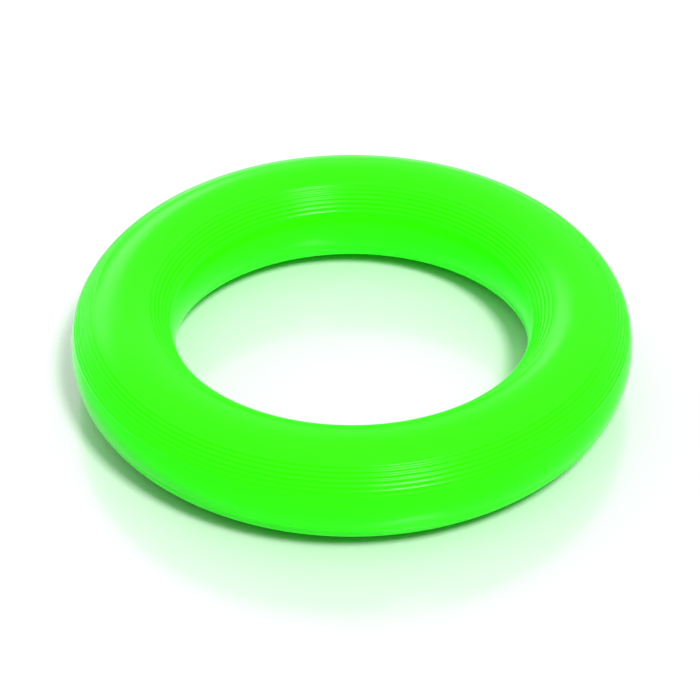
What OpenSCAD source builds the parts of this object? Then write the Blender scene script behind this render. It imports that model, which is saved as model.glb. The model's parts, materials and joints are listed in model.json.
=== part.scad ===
// Air-filled flying ring for lawn and deck games.
// A fat round tube bent into a ring, moulded hollow in soft vinyl. Four bands of fine ribs
// run round the tube for grip. A needle valve sits in the wall of the ring's hole, where it
// is out of a player's grip: a pressed-in core that seals itself, closed by a pull-out stopper.
//
// Units are millimetres. The ring's axis is Z, and it lies on the plane z = 0.
// The valve is on the -Y side of the hole and faces +Y.

/* [Ring] */
// Outer diameter of the ring
outer_d = 180; // [170:1:200]
// Diameter of the tube, from skin to skin between the ribs
tube_d = 33.4; // [31:0.2:36]
// Thickness of the moulded skin
skin_t = 3; // [2.6:0.1:4]
// Width of the flat land that the ring rests on
rest_w = 3; // [1:0.5:4]
// Width of the straight land round the wall of the hole
hole_land_w = 3; // [1:0.5:4]

/* [Grip ribs] */
// Number of ribs in each of the four bands
rib_count = 7; // [3:1:8]
// Distance from one rib's crest to the next, along the skin
rib_pitch = 1.55; // [1.4:0.05:1.8]
// Height of a rib above the skin
rib_h = 0.2; // [0.1:0.05:0.4]
// Radius of a rib's rounded crest
rib_r = 0.8; // [0.6:0.05:0.9]
// Angle of an outer band's middle above or below the tube's equator
outer_band_angle = 38.5; // [36:0.5:46]
// Angle of an inner band's middle above or below the tube's equator
inner_band_angle = 42.5; // [36:0.5:46]

/* [Valve] */
// Diameter of the valve core's flange
flange_d = 9; // [8:0.5:11]
// Diameter of the valve core's stem
stem_d = 6; // [5.6:0.2:6.4]
// Depth of the thickened boss that holds the stem, from the skin's surface
boss_depth = 7; // [6.5:0.5:9]
// How far the valve's face is sunk below the skin
sink = 0.2; // [0.1:0.05:0.4]
// Diameter of the channel that a pump's needle goes into
needle_d = 2; // [1.8:0.1:2.2]
// Length of the needle channel
needle_len = 4; // [3:0.5:6]

/* [Stopper] */
// Diameter of the stopper's head
head_d = 4.6; // [4.2:0.2:5]
// Thickness of the stopper's head
head_h = 1; // [0.8:0.1:1.1]
// Diameter of the stopper's pin
pin_d = 2.8; // [2.6:0.1:3]
// Gap all round the stopper in the valve core
gap = 0.05; // [0.03:0.01:0.08]

/* [Hidden] */

$fn = 96;
ring_fn = 180;
rib_fn = 24;

tube_r = tube_d / 2;
ring_r = outer_d / 2 - tube_r;
hole_r = ring_r - tube_r;
cavity_r = tube_r - skin_t;
// the two lands trim the tube a little, below its middle and round the hole
tube_z = sqrt(pow(tube_r, 2) - pow(rest_w / 2, 2));
hole_wall_r = ring_r - sqrt(pow(tube_r, 2) - pow(hole_land_w / 2, 2));

rib_step = rib_pitch / tube_r * 180 / PI;
band_angles = [
    outer_band_angle,
    180 - inner_band_angle,
    180 + inner_band_angle,
    360 - outer_band_angle,
];

// Depths below the skin's surface, along the valve's axis. The needle channel starts behind
// the boss, where the rubber round it can stretch.
flange_base = 1.6;
head_seat = sink + gap + head_h + gap;
barb_base = boss_depth + 1.8;
pin_bore_end = boss_depth + 0.4;
pin_end = pin_bore_end - gap;
needle_end = pin_bore_end + needle_len;
core_end = needle_end + 1.6;

boss_top_r = stem_d / 2 + 3;
boss_root_r = boss_top_r + 2;
barb_r = stem_d / 2 + 0.9;
tip_r = barb_r - 1.3;
head_edge = 0.2;
pin_tip_len = 0.7;
pin_tip_taper = 0.4;
notch_w = 1.8;
notch_reach = 0.9;
slit_t = 0.15;
slit_w = 1.8;
// cutters run this far past the faces that they open
over = 1;

// Cylinder about Z between two depths below z = 0
module plug(r, from, to) {
    translate([0, 0, -to])
        cylinder(r = r, h = to - from);
}

// Cone about Z between two depths below z = 0, with a radius for each
module taper(r_from, r_to, from, to) {
    translate([0, 0, -to])
        cylinder(r1 = r_to, r2 = r_from, h = to - from);
}

// Puts children drawn about Z at the valve: their z = 0 is the skin's surface in the hole,
// and their Z points at the ring's axis
module at_valve() {
    translate([0, -hole_r, tube_z])
        rotate([-90, 0, 0])
            children();
}

// Plain ring of round section on the tube's centre line
module torus(r) {
    translate([0, 0, tube_z])
        rotate_extrude($fn = ring_fn)
            translate([ring_r, 0])
                circle(r = r);
}

// Section of the tube with its bands of ribs, about the tube's centre
module ribbed_section() {
    circle(r = tube_r);
    for (band = band_angles) {
        for (i = [0 : rib_count - 1]) {
            rotate(band + (i - (rib_count - 1) / 2) * rib_step)
                translate([tube_r + rib_h - rib_r, 0])
                    circle(r = rib_r, $fn = rib_fn);
        }
    }
}

// Outside of the ring, solid, trimmed to its two lands
module ring_outside() {
    rotate_extrude($fn = ring_fn)
        intersection() {
            translate([ring_r, tube_z])
                ribbed_section();
            translate([hole_wall_r, 0])
                square(tube_d + over);
        }
}

// Moulded skin: hollow, with a boss inside the wall that the valve core is pressed into
module ring_skin() {
    color("#41ff1e")
        difference() {
            ring_outside();
            difference() {
                torus(cavity_r);
                at_valve()
                    taper(boss_root_r, boss_top_r, skin_t - over, boss_depth);
            }
            at_valve() {
                plug(flange_d / 2, -over, flange_base);
                plug(stem_d / 2, flange_base - over, boss_depth + over);
            }
        }
}

// Valve core: a soft rubber insert whose flange follows the skin, with a stem through the
// boss and a barb behind it. Its blind end is slit, and closes again round a pulled needle.
module valve_core() {
    color("#8df57a")
        difference() {
            intersection() {
                torus(tube_r - sink);
                at_valve() {
                    plug(flange_d / 2, -over, flange_base);
                    plug(stem_d / 2, flange_base - over, boss_depth + over);
                    plug(barb_r, boss_depth, barb_base);
                    taper(barb_r, tip_r, barb_base, core_end);
                }
            }
            at_valve() {
                plug(head_d / 2 + gap, -over, head_seat);
                plug(pin_d / 2 + gap, head_seat - over, pin_bore_end);
                plug(needle_d / 2, pin_bore_end - over, needle_end);
                translate([0, -notch_w / 2, -head_seat])
                    cube([head_d / 2 + notch_reach, notch_w, head_seat + over]);
                translate([-slit_w / 2, -slit_t / 2, -core_end - over])
                    cube([slit_w, slit_t, core_end + over - needle_end + over]);
            }
        }
}

// Stopper: a flat head with an eased edge, which a fingernail lifts at the core's notch,
// on a pin with a tapered tip
module valve_stopper() {
    color("#2fd61a")
        at_valve() {
            taper(head_d / 2 - head_edge, head_d / 2, sink + gap, sink + gap + head_edge);
            plug(head_d / 2, sink + gap + head_edge, head_seat - gap);
            plug(pin_d / 2, head_seat - gap, pin_end - pin_tip_len);
            taper(pin_d / 2, pin_d / 2 - pin_tip_taper, pin_end - pin_tip_len, pin_end);
        }
}

ring_skin();
valve_core();
valve_stopper();
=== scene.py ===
import json
import math

import bmesh
import bpy
from bpy.props import FloatProperty, FloatVectorProperty, IntProperty, PointerProperty
from bpy.types import Operator, Panel, PropertyGroup
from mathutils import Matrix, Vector


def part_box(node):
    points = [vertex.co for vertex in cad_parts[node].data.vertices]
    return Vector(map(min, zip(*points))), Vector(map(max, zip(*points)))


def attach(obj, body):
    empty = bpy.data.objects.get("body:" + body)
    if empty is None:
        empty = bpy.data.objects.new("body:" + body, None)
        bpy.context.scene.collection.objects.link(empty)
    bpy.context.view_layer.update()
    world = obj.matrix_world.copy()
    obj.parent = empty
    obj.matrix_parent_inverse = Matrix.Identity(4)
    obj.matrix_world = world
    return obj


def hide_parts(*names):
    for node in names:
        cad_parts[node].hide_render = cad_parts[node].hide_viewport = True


bl_info = {
    "name": "Flying Ring",
    "version": (1, 0, 0),
    "blender": (4, 5, 0),
    "location": "View3D > Sidebar > Flying Ring",
    "description": "Soft vinyl throwing ring with grip ribs and a needle valve, on a studio floor",
    "category": "Add Mesh",
}

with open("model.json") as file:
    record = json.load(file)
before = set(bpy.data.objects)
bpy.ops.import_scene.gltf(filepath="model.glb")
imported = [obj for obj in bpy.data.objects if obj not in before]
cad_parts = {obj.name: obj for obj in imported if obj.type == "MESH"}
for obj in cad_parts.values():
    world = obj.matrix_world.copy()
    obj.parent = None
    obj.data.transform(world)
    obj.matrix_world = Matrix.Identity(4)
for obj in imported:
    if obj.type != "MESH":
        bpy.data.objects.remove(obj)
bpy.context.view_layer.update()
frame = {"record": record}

MM = 0.001
MOUNTS = {mount["name"]: mount for mount in frame["record"]["mounts"]}
REST_LAND = 3 * MM
# The rest face is under the tube's centre line, and the hole's bore is at the tube's middle height
RING_RADIUS = MOUNTS["rest_face"]["pos_m"][0]
TUBE_MIDDLE = MOUNTS["ring_hole"]["pos_m"][2]
TUBE_RADIUS = math.hypot(TUBE_MIDDLE, REST_LAND / 2)
HOLE_RADIUS = RING_RADIUS - TUBE_RADIUS
NEEDLE_RADIUS = MOUNTS["needle_channel"]["dims"]["r_mm"] * MM
NEEDLE_LENGTH = MOUNTS["needle_channel"]["dims"]["length_mm"] * MM
# The valve faces +Y from the -Y side of the hole. Depths are measured from here into the tube.
VALVE_MOUTH = Vector((0, -HOLE_RADIUS, TUBE_MIDDLE))
STOPPER_LOW, STOPPER_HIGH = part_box("valve_stopper")
CORE_LOW, CORE_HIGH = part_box("valve_core")
# Cutters start this far outside the faces that they open
OVER = MM
# The skin's outline: a turn per face on the plain skin, and faces per rib crest and per root
PLAIN_STEP = math.radians(2.6)
CREST_STEPS = 5
ROOT_STEPS = 4
# Wide enough that no view of the ring reaches the floor's edge
FLOOR_SIZE = 24


def linear(code):
    """An sRGB hex colour as Blender's linear red, green and blue."""
    parts = [int(code[i:i + 2], 16) / 255 for i in (1, 3, 5)]
    return [c / 12.92 if c <= 0.04045 else ((c + 0.055) / 1.055) ** 2.4 for c in parts]


# ---------------------------------------------------------------- sizes and colours


def length(name, description, default):
    return FloatProperty(name=name, description=description, default=default, min=0, unit="LENGTH")


def angle(name, description, degrees):
    return FloatProperty(
        name=name, description=description, default=math.radians(degrees), subtype="ANGLE"
    )


def colour(name, description, code):
    return FloatVectorProperty(
        name=name, description=description, default=linear(code), size=3, subtype="COLOR",
        min=0, max=1,
    )


class RingSizes(PropertyGroup):
    ring_radius: length("Ring radius", "From the ring's axis to the tube's centre", RING_RADIUS)
    tube_radius: length("Tube radius", "Radius of the tube between its ribs", TUBE_RADIUS)
    tube_middle: length("Tube height", "Height of the tube's centre above the floor", TUBE_MIDDLE)
    skin: length("Skin", "Thickness of the moulded wall", 3 * MM)
    rest_land: length("Rest land", "Width of the flat that the ring lies on", REST_LAND)
    ribs: IntProperty(name="Ribs", description="Ribs in each band", default=7, min=1, max=8)
    rib_pitch: length("Rib pitch", "From one rib's crest to the next", 1.55 * MM)
    rib_height: length("Rib height", "How far a crest stands above the skin", 0.2 * MM)
    rib_crest: length("Rib crest", "Radius of a rib's rounded crest", 0.8 * MM)
    outer_band: angle("Outer bands", "Their middles above and below the tube's equator", 38.5)
    inner_band: angle("Inner bands", "Their middles above and below the tube's equator", 42.5)
    steps: IntProperty(name="Steps", description="Faces round the ring", default=240, min=60)


class ValveSizes(PropertyGroup):
    flange_radius: length("Flange", "Radius of the core's flange", (CORE_HIGH.x - CORE_LOW.x) / 2)
    flange_base: length("Flange base", "Depth of the flange's back", 1.6 * MM)
    stem_radius: length("Stem", "Radius of the core's stem", 3 * MM)
    boss_depth: length("Boss", "Depth of the boss that holds the stem", 7 * MM)
    barb_radius: length("Barb", "Radius of the barb behind the boss", 3.9 * MM)
    barb_base: length("Barb end", "Depth where the barb starts to taper", 8.8 * MM)
    tip_radius: length("Tip", "Radius of the core's blind end", 2.6 * MM)
    core_end: length("Core end", "Depth of the core's blind end", VALVE_MOUTH.y - CORE_LOW.y)
    sink: length("Sink", "How far the core's face is below the skin", 0.2 * MM)
    head_radius: length("Head", "Radius of the stopper", (STOPPER_HIGH.x - STOPPER_LOW.x) / 2)
    head_top: length("Head top", "Depth of the stopper's face", VALVE_MOUTH.y - STOPPER_HIGH.y)
    head_base: length("Head base", "Depth of the back of the stopper's head", 1.25 * MM)
    pin_radius: length("Pin", "Radius of the stopper's pin", 1.4 * MM)
    pin_end: length("Pin end", "Depth of the pin's tip", VALVE_MOUTH.y - STOPPER_LOW.y)
    gap: length("Gap", "Clearance round the stopper", 0.05 * MM)
    notch_width: length("Notch", "Width of the fingernail notch beside the stopper", 1.8 * MM)
    notch_reach: length("Notch reach", "How far the notch goes past the stopper's head", 0.9 * MM)
    slit_width: length("Slit", "Width of the slit in the core's blind end", 1.8 * MM)
    slit_gap: length("Slit gap", "How far the slit is drawn open", 0.15 * MM)


class Finish(PropertyGroup):
    vinyl: colour("Vinyl", "Fluorescent green of the skin", "#2BFF04")
    rubber: colour("Core rubber", "Paler green of the valve core", "#59D246")
    stopper: colour("Stopper vinyl", "Deeper green of the stopper", "#15AC06")
    floor: colour("Floor", "Glossy white studio floor", "#BFC9C2")


class StageSizes(PropertyGroup):
    distance: length("Distance", "From the camera to the ring's middle", 0.975)
    elevation: angle("Elevation", "Camera's height above the horizon", 37.2)
    lens: FloatProperty(name="Lens", description="Focal length in millimetres", default=155.8)
    shift_x: FloatProperty(name="Shift X", description="Sideways shift of the frame", default=-0.0024)
    shift_y: FloatProperty(name="Shift Y", description="Upward shift of the frame", default=-0.0223)


# ---------------------------------------------------------------- modelling


def start_at(point, name):
    """Starts a piece from one selected point, a plane merged at its centre, in edit mode."""
    bpy.ops.object.select_all(action="DESELECT")
    bpy.ops.mesh.primitive_plane_add(size=MM, location=point)
    piece = bpy.context.object
    piece.name = name
    piece.data.name = name
    bpy.ops.object.transform_apply(location=True, rotation=True, scale=True)
    bpy.ops.object.mode_set(mode="EDIT")
    bpy.ops.mesh.select_all(action="SELECT")
    bpy.ops.mesh.merge(type="CENTER")
    return piece


def draw_to(start, end):
    """Draws a straight edge on from the selected point."""
    bpy.ops.mesh.extrude_region_move(TRANSFORM_OT_translate={"value": Vector(end) - Vector(start)})


def draw_arc(centre, turn, steps):
    """Draws an arc on from the selected point, turning from +X towards +Z."""
    bpy.ops.mesh.spin(
        steps=steps, angle=turn, center=centre, axis=(0, 1, 0), use_auto_merge=False
    )


def draw_plain_arc(centre, turn):
    """Draws a stretch of plain skin on from the selected point."""
    draw_arc(centre, turn, round(turn / PLAIN_STEP))


def turn_round(centre, axis, steps):
    """Turns the drawn outline once round an axis, closes the seam and leaves edit mode."""
    bpy.ops.mesh.select_all(action="SELECT")
    bpy.ops.mesh.spin(steps=steps, angle=math.tau, center=centre, axis=axis)
    tidy()


def tidy():
    """Merges doubles, points the faces outward and leaves edit mode."""
    bpy.ops.mesh.select_all(action="SELECT")
    bpy.ops.mesh.remove_doubles(threshold=0.002 * MM)
    bpy.ops.mesh.normals_make_consistent(inside=False)
    bpy.ops.object.mode_set(mode="OBJECT")


def apply(piece, modifier):
    bpy.context.view_layer.objects.active = piece
    bpy.ops.object.modifier_apply(modifier=modifier.name)


def carve(piece, cutter, operation="DIFFERENCE"):
    """Cuts a piece with another closed piece, or keeps only what both share, and removes the cutter."""
    cut = piece.modifiers.new("Carve", "BOOLEAN")
    cut.operation = operation
    cut.solver = "MANIFOLD"
    cut.object = cutter
    apply(piece, cut)
    bpy.data.objects.remove(cutter)


def smooth(piece, limit):
    bpy.ops.object.select_all(action="DESELECT")
    piece.select_set(True)
    bpy.context.view_layer.objects.active = piece
    bpy.ops.object.shade_smooth_by_angle(angle=math.radians(limit))


def at_depth(radius, depth):
    """A point of an outline that is turned round the valve's axis."""
    return VALVE_MOUTH + Vector((radius, -depth, 0))


def turned(name, outline, steps=64):
    """A solid turned round the valve's axis from (radius, depth) points, the first and last on it."""
    points = [at_depth(*point) for point in outline]
    piece = start_at(points[0], name)
    for start, end in zip(points, points[1:]):
        draw_to(start, end)
    turn_round(VALVE_MOUTH, (0, 1, 0), steps)
    return piece


def block(name, low, high):
    """A box between two corners, each (sideways, depth, up) from the valve's mouth."""
    corners = [VALVE_MOUTH + Vector((x, -depth, z)) for x, depth, z in (low, high)]
    bpy.ops.object.select_all(action="DESELECT")
    bpy.ops.mesh.primitive_cube_add(size=1, location=(corners[0] + corners[1]) / 2)
    piece = bpy.context.object
    piece.name = name
    piece.scale = [abs(b - a) for a, b in zip(*corners)]
    bpy.ops.object.transform_apply(location=True, rotation=True, scale=True)
    return piece


def soften(piece, width, limit):
    """Rounds the edges that a mould leaves rounded."""
    bevel = piece.modifiers.new("Soften", "BEVEL")
    bevel.width = width
    bevel.segments = 2
    bevel.limit_method = "ANGLE"
    bevel.angle_limit = math.radians(limit)
    apply(piece, bevel)


def put_on(piece, body, node, material):
    """Finishes a piece: its material, the body it moves with and the CAD node it stands for."""
    piece.data.materials.clear()
    piece.data.materials.append(material)
    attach(piece, body)
    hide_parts(node)


# ---------------------------------------------------------------- materials


def add(tree, kind, settings=(), **links):
    """Adds a node, with its settings by input or attribute name and its links by input name."""
    node = tree.nodes.new(kind)
    for name, value in dict(settings).items():
        if name in node.inputs:
            node.inputs[name].default_value = value
        else:
            setattr(node, name, value)
    for name, source in links.items():
        tree.links.new(source, node.inputs[name.replace("_", " ")])
    return node


def soft_vinyl(name, colour_value, painted_glow, grain, roughness):
    """Moulded soft PVC: plasticised, so it is waxy and satin, light soaks a little way into it
    before it comes out, and the blasted mould leaves a fine grain. The fluorescent pigment
    gives back more green than falls on it; a constant green emission stands in for it, a
    painted glow that also lights the shaded sides and undersides."""
    material = bpy.data.materials.new(name)
    material.use_nodes = True
    tree = material.node_tree
    tree.nodes.clear()
    place = add(tree, "ShaderNodeTexCoord").outputs["Object"]
    # pigment is a little denser in some places than in others, over about a thumb's width
    cloud = add(tree, "ShaderNodeTexNoise", {"Scale": 1 / (22 * MM), "Detail": 2.0}, Vector=place)
    tint = add(
        tree, "ShaderNodeMix", {"data_type": "RGBA", "blend_type": "MIX"},
        Factor=cloud.outputs["Fac"],
    )
    tint.inputs[6].default_value = (*[c * 0.93 for c in colour_value], 1)
    tint.inputs[7].default_value = (*colour_value, 1)
    blasted = add(tree, "ShaderNodeTexNoise", {"Scale": 1 / grain, "Detail": 4.0}, Vector=place)
    sheen = add(
        tree, "ShaderNodeMapRange",
        {"To Min": roughness - 0.04, "To Max": roughness + 0.06}, Value=blasted.outputs["Fac"],
    )
    relief = add(
        tree, "ShaderNodeBump", {"Strength": 0.12, "Distance": 0.05 * MM},
        Height=blasted.outputs["Fac"],
    )
    shader = add(
        tree, "ShaderNodeBsdfPrincipled",
        {
            "IOR": 1.53,
            "Subsurface Weight": 0.1,
            "Subsurface Radius": (0.6, 1.6, 0.5),
            "Subsurface Scale": 1.2 * MM,
            "Specular IOR Level": 0.08,
            # painted glow: an even green emission that brightens shaded faces as much as lit ones
            "Emission Strength": painted_glow,
        },
        Base_Color=tint.outputs[2],
        Roughness=sheen.outputs["Result"],
        Normal=relief.outputs["Normal"],
    )
    shader.inputs["Emission Color"].default_value = (*colour_value, 1)
    add(tree, "ShaderNodeOutputMaterial", Surface=shader.outputs["BSDF"])
    return material


def floor_acrylic(colour_value):
    """Polished white acrylic: a hard clear gloss over an even white."""
    material = bpy.data.materials.new("polished white acrylic")
    material.use_nodes = True
    shader = material.node_tree.nodes["Principled BSDF"]
    shader.inputs["Base Color"].default_value = (*colour_value, 1)
    shader.inputs["Roughness"].default_value = 0.18
    shader.inputs["IOR"].default_value = 2.25
    return material


# ---------------------------------------------------------------- pieces


class FLYINGRING_OT_skin(Operator):
    """Moulded skin: the ribbed tube turned round the ring's axis, hollow, with the valve's seat"""

    bl_idname = "flying_ring.skin"
    bl_label = "Ring Skin"

    def execute(self, context):
        size = context.scene.flying_ring_sizes
        valve = context.scene.flying_ring_valve
        centre = Vector((size.ring_radius, 0, size.tube_middle))
        crest_at = size.tube_radius + size.rib_height - size.rib_crest
        step = size.rib_pitch / size.tube_radius
        # what half a lone rib takes of the tube's round, and how far its crest turns on the way
        foot = math.acos(
            (size.tube_radius**2 + crest_at**2 - size.rib_crest**2)
            / (2 * size.tube_radius * crest_at)
        )
        crest = math.acos((size.tube_radius * math.cos(foot) - crest_at) / size.rib_crest)
        # the root between two ribs rounds down to the skin, and runs smoothly into both crests
        across = crest_at * math.cos(step / 2)
        root = (
            (size.rib_crest**2 - size.tube_radius**2 - crest_at**2 + 2 * across * size.tube_radius)
            / (2 * (size.tube_radius - across - size.rib_crest))
        )
        root_at = size.tube_radius + root
        lean = math.atan2(root_at * math.sin(step / 2), root_at * math.cos(step / 2) - crest_at)
        half_rest = math.asin(size.rest_land / 2 / size.tube_radius)

        def on_tube(turn, radius):
            return centre + Vector((math.cos(turn), 0, math.sin(turn))) * radius

        here = half_rest - math.pi / 2
        skin = start_at(on_tube(here, size.tube_radius), "ring_skin_moulded")
        bands = (-size.outer_band, size.outer_band, math.pi - size.inner_band, math.pi + size.inner_band)
        for middle in bands:
            rib = middle - (size.ribs - 1) / 2 * step
            draw_plain_arc(centre, rib - foot - here)
            draw_arc(on_tube(rib, crest_at), crest + lean, CREST_STEPS)
            for _ in range(size.ribs - 1):
                draw_arc(on_tube(rib + step / 2, root_at), step - 2 * lean, ROOT_STEPS)
                rib += step
                draw_arc(on_tube(rib, crest_at), 2 * lean, CREST_STEPS)
            draw_arc(on_tube(rib, crest_at), crest - lean, 1)
            here = rib + foot
        draw_plain_arc(centre, 1.5 * math.pi - half_rest - here)
        outline = bmesh.from_edit_mesh(skin.data)
        for vertex in outline.verts:
            vertex.select_set(len(vertex.link_edges) == 1)
        bmesh.update_edit_mesh(skin.data)
        bpy.ops.mesh.edge_face_add()
        turn_round((0, 0, 0), (0, 0, 1), size.steps)

        bpy.ops.object.select_all(action="DESELECT")
        bpy.ops.mesh.primitive_torus_add(
            major_segments=144, minor_segments=48, location=(0, 0, size.tube_middle),
            major_radius=size.ring_radius, minor_radius=size.tube_radius - size.skin,
        )
        cavity = context.object
        bpy.ops.object.transform_apply(location=True, rotation=True, scale=True)
        # the boss starts inside the wall, and flares where it meets it
        boss_from = size.skin - OVER
        boss_wall = 3 * MM
        boss_flare = 2 * MM
        boss_top = valve.stem_radius + boss_wall
        boss_root = boss_top + boss_flare
        boss = turned(
            "boss",
            [
                (0, boss_from),
                (boss_root, boss_from),
                (boss_top, valve.boss_depth),
                (0, valve.boss_depth),
            ],
        )
        carve(cavity, boss)
        carve(skin, cavity)
        seat = turned(
            "seat",
            [
                (0, -OVER),
                (valve.flange_radius, -OVER),
                (valve.flange_radius, valve.flange_base),
                (valve.stem_radius, valve.flange_base),
                (valve.stem_radius, valve.boss_depth + OVER),
                (0, valve.boss_depth + OVER),
            ],
        )
        carve(skin, seat)
        smooth(skin, 75)
        colours = context.scene.flying_ring_finish
        # the skin's green glow is painted light that lifts its shaded faces
        material = soft_vinyl(
            "moulded soft PVC", colours.vinyl, painted_glow=0.08, grain=0.25 * MM, roughness=0.2
        )
        put_on(skin, "ring", "ring_skin", material)
        return {"FINISHED"}


class FLYINGRING_OT_valve_core(Operator):
    """Valve core: a rubber insert whose face follows the skin, with the stopper's seat in it"""

    bl_idname = "flying_ring.valve_core"
    bl_label = "Valve Core"

    def execute(self, context):
        size = context.scene.flying_ring_sizes
        valve = context.scene.flying_ring_valve
        core = turned(
            "valve_core_insert",
            [
                (0, -OVER),
                (valve.flange_radius, -OVER),
                (valve.flange_radius, valve.flange_base),
                (valve.stem_radius, valve.flange_base),
                (valve.stem_radius, valve.boss_depth),
                (valve.barb_radius, valve.boss_depth),
                (valve.barb_radius, valve.barb_base),
                (valve.tip_radius, valve.core_end),
                (0, valve.core_end),
            ],
        )
        bpy.ops.object.select_all(action="DESELECT")
        bpy.ops.mesh.primitive_torus_add(
            major_segments=720, minor_segments=120, location=(0, 0, size.tube_middle),
            major_radius=size.ring_radius, minor_radius=size.tube_radius - valve.sink,
        )
        around = context.object
        bpy.ops.object.transform_apply(location=True, rotation=True, scale=True)
        carve(core, around, "INTERSECT")
        head_seat = valve.head_base + valve.gap
        pin_seat = valve.pin_end + valve.gap
        bore = turned(
            "bore",
            [
                (0, -OVER),
                (valve.head_radius + valve.gap, -OVER),
                (valve.head_radius + valve.gap, head_seat),
                (valve.pin_radius + valve.gap, head_seat),
                (valve.pin_radius + valve.gap, pin_seat),
                (NEEDLE_RADIUS, pin_seat),
                (NEEDLE_RADIUS, pin_seat + NEEDLE_LENGTH),
                (0, pin_seat + NEEDLE_LENGTH),
            ],
        )
        carve(core, bore)
        notch = valve.head_radius + valve.notch_reach
        half_notch = valve.notch_width / 2
        carve(core, block("notch", (0, -OVER, -half_notch), (notch, head_seat, half_notch)))
        slit_from = pin_seat + NEEDLE_LENGTH - OVER
        slit_to = valve.core_end + OVER
        half_slit = valve.slit_width / 2
        slit_gap = valve.slit_gap / 2
        carve(core, block("slit", (-half_slit, slit_from, -slit_gap), (half_slit, slit_to, slit_gap)))
        smooth(core, 40)
        colours = context.scene.flying_ring_finish
        # the core's glow is painted light, an even green emission
        material = soft_vinyl(
            "cured valve rubber", colours.rubber, painted_glow=0.05, grain=0.18 * MM, roughness=0.5
        )
        put_on(core, "ring", "valve_core", material)
        return {"FINISHED"}


class FLYINGRING_OT_valve_stopper(Operator):
    """Stopper: a small head with a raised rim on a pin with a tapered tip"""

    bl_idname = "flying_ring.valve_stopper"
    bl_label = "Valve Stopper"

    def execute(self, context):
        valve = context.scene.flying_ring_valve
        dish = valve.head_top + 0.18 * MM
        rim = valve.head_radius - 0.75 * MM
        rim_slope = 0.25 * MM
        edge_in = 0.15 * MM
        edge_down = 0.2 * MM
        tip_length = 0.7 * MM
        tip_taper = 0.4 * MM
        edge_round = 0.06 * MM
        stopper = turned(
            "valve_stopper_plug",
            [
                (0, dish),
                (rim - rim_slope, dish),
                (rim, valve.head_top),
                (valve.head_radius - edge_in, valve.head_top),
                (valve.head_radius, valve.head_top + edge_down),
                (valve.head_radius, valve.head_base),
                (valve.pin_radius, valve.head_base),
                (valve.pin_radius, valve.pin_end - tip_length),
                (valve.pin_radius - tip_taper, valve.pin_end),
                (0, valve.pin_end),
            ],
        )
        soften(stopper, edge_round, 30)
        smooth(stopper, 40)
        colours = context.scene.flying_ring_finish
        # the stopper's glow is painted light, an even green emission
        material = soft_vinyl(
            "moulded vinyl stopper", colours.stopper, painted_glow=0.08, grain=0.18 * MM, roughness=0.4
        )
        put_on(stopper, "stopper", "valve_stopper", material)
        return {"FINISHED"}


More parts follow.
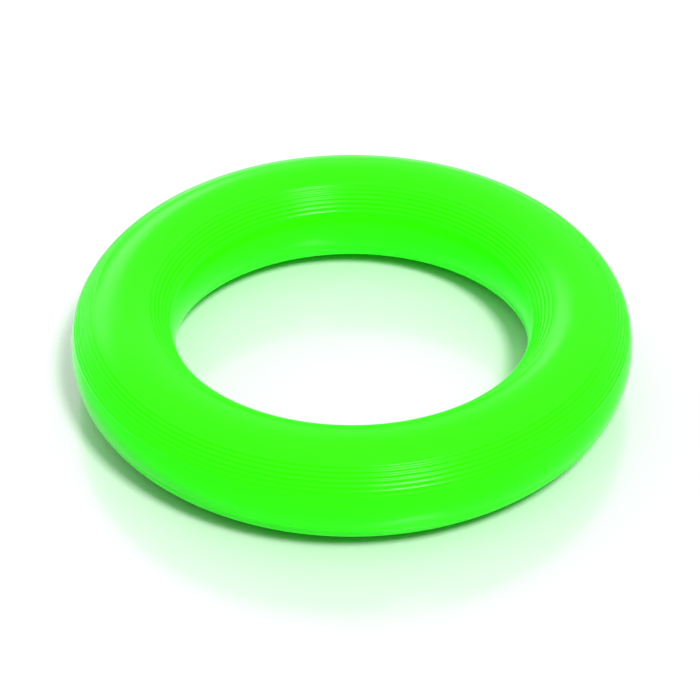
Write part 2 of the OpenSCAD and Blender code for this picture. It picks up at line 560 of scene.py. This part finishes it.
class FLYINGRING_OT_stage(Operator):
    """Studio: a glossy white floor, soft lights and the camera"""

    bl_idname = "flying_ring.stage"
    bl_label = "Studio"

    def execute(self, context):
        stage = context.scene.flying_ring_stage
        aim = Vector((0, 0, TUBE_MIDDLE))
        bpy.ops.object.select_all(action="DESELECT")
        bpy.ops.mesh.primitive_plane_add(size=FLOOR_SIZE, location=(0, 0, 0))
        floor = context.object
        floor.name = "studio_floor"
        floor.data.materials.append(floor_acrylic(context.scene.flying_ring_finish.floor))

        back = Vector((0, -math.cos(stage.elevation), math.sin(stage.elevation)))
        bpy.ops.object.camera_add(location=aim + back * stage.distance)
        camera = context.object
        camera.rotation_euler = (-back).to_track_quat("-Z", "Y").to_euler()
        camera.data.lens = stage.lens
        camera.data.sensor_width = 36
        camera.data.shift_x = stage.shift_x
        camera.data.shift_y = stage.shift_y
        camera.data.clip_start = 0.01
        context.scene.camera = camera

        softbox("key_softbox", aim, azimuth=30, elevation=57, size=(0.9, 0.9), watts=200)
        softbox("rim_softbox", aim, azimuth=208, elevation=24, size=(2.8, 1.4), watts=40)
        world = bpy.data.worlds.new("studio surround")
        world.use_nodes = True
        tree = world.node_tree
        # white walls and ceiling, darker low down and towards the camera's side
        toward = add(tree, "ShaderNodeTexCoord").outputs["Generated"]
        rise = add(tree, "ShaderNodeVectorMath", {"operation": "DOT_PRODUCT"})
        rise.inputs[1].default_value = (0, 0.35, 1)
        tree.links.new(toward, rise.inputs[0])
        bright = add(
            tree, "ShaderNodeMapRange",
            {
                "interpolation_type": "SMOOTHSTEP",
                "From Min": 0.25,
                "From Max": 0.65,
                "To Min": 0.07,
                "To Max": 1.12,
            },
            Value=rise.outputs["Value"],
        )
        surround = tree.nodes["Background"]
        surround.inputs["Color"].default_value = (1, 1, 1, 1)
        tree.links.new(bright.outputs["Result"], surround.inputs["Strength"])
        context.scene.world = world
        context.scene.view_settings.view_transform = "Standard"
        return {"FINISHED"}


def softbox(name, aim, azimuth, elevation, size, watts, distance=4):
    """A softbox of a width and height, its azimuth counted to the right of the camera's side."""
    turn = math.radians(azimuth - 90)
    rise = math.radians(elevation)
    away = Vector((math.cos(turn) * math.cos(rise), math.sin(turn) * math.cos(rise), math.sin(rise)))
    bpy.ops.object.light_add(type="AREA", location=aim + away * distance)
    light = bpy.context.object
    light.name = name
    light.rotation_euler = (-away).to_track_quat("-Z", "Y").to_euler()
    light.data.shape = "RECTANGLE"
    light.data.size, light.data.size_y = size
    light.data.energy = watts


class FLYINGRING_PT_panel(Panel):
    bl_idname = "FLYINGRING_PT_panel"
    bl_label = "Flying Ring"
    bl_space_type = "VIEW_3D"
    bl_region_type = "UI"
    bl_category = "Flying Ring"

    def draw(self, context):
        for group in (
            context.scene.flying_ring_sizes,
            context.scene.flying_ring_valve,
            context.scene.flying_ring_finish,
            context.scene.flying_ring_stage,
        ):
            column = self.layout.column(align=True)
            for name in group.__annotations__:
                column.prop(group, name)
        for operator in OPERATORS:
            self.layout.operator(operator.bl_idname)


GROUPS = {
    "flying_ring_sizes": RingSizes,
    "flying_ring_valve": ValveSizes,
    "flying_ring_finish": Finish,
    "flying_ring_stage": StageSizes,
}
OPERATORS = (
    FLYINGRING_OT_skin,
    FLYINGRING_OT_valve_core,
    FLYINGRING_OT_valve_stopper,
    FLYINGRING_OT_stage,
)


def register():
    for cls in (*GROUPS.values(), *OPERATORS, FLYINGRING_PT_panel):
        bpy.utils.register_class(cls)
    for name, group in GROUPS.items():
        setattr(bpy.types.Scene, name, PointerProperty(type=group))


def unregister():
    for name in GROUPS:
        delattr(bpy.types.Scene, name)
    for cls in reversed((*GROUPS.values(), *OPERATORS, FLYINGRING_PT_panel)):
        bpy.utils.unregister_class(cls)


def main():
    register()
    bpy.ops.flying_ring.skin()
    bpy.ops.flying_ring.valve_core()
    bpy.ops.flying_ring.valve_stopper()
    bpy.ops.flying_ring.stage()


if __name__ == "__main__":
    main()
